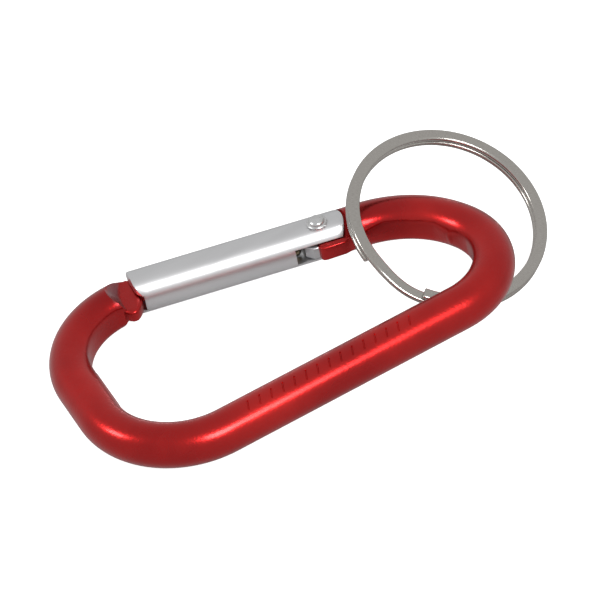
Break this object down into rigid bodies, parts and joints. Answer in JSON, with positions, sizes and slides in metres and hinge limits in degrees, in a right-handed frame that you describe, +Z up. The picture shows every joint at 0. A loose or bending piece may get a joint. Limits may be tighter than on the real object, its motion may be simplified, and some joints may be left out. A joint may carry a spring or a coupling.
{
  "type": "carabiner keyring",
  "caption": "Small bent-rod accessory carabiner with a riveted spring gate and a flattened-wire split key ring hung on its narrow end.",
  "frame": {"origin": "below the middle of the whole keyring, at the height of its lowest point", "axes": "the body lies level: +X along the spine from the nose end to the hinge end, +Y from the spine to the gate, +Z up out of the carabiner's plane"},
  "size_m": [0.0686, 0.0348, 0.0135],
  "materials": {
    "anodised_rod": "clear red anodised, satin gloss",
    "plain_gate": "satin, drawn along its length",
    "rivet_metal": "bright, lightly worn",
    "plunger_brass": "turned, dull",
    "spring_wire": "drawn spring wire",
    "plated_ring": "nickel plated, fine brushed"
  },
  "bodies": {
    "body": {"carabiner_body": "anodised_rod", "hinge_rivet": "rivet_metal"},
    "gate": {"gate": "plain_gate", "gate_spring": "spring_wire"},
    "plunger": {"gate_plunger": "plunger_brass"},
    "ring": {"split_ring": "plated_ring"}
  },
  "joints": [
    {"name": "gate_hinge", "type": "hinge", "parent": "body", "child": "gate", "pos_m": [0.00663, 0.00794, 0.00654], "axis": [0, 0, 1], "range_deg": [0, 30], "stiffness_Nm_per_rad": 0.004, "springref_deg": -45.84, "deforming": ["gate_spring"]},
    {"name": "plunger_slide", "type": "slide", "parent": "gate", "child": "plunger", "axis": [-0.9644, 0.2643, 0], "range_m": [0, 0.0004]},
    {"name": "ring_swing", "type": "hinge", "parent": "body", "child": "ring", "pos_m": [0.01233, -0.00042, 0.00826], "axis": [0.1707, 0.9051, 0.3895], "range_deg": [0, 120]}
  ],
  "couplings": [
    {"joint": "plunger_slide", "follows": "gate_hinge", "m_per_rad": 0.00076}
  ]
}
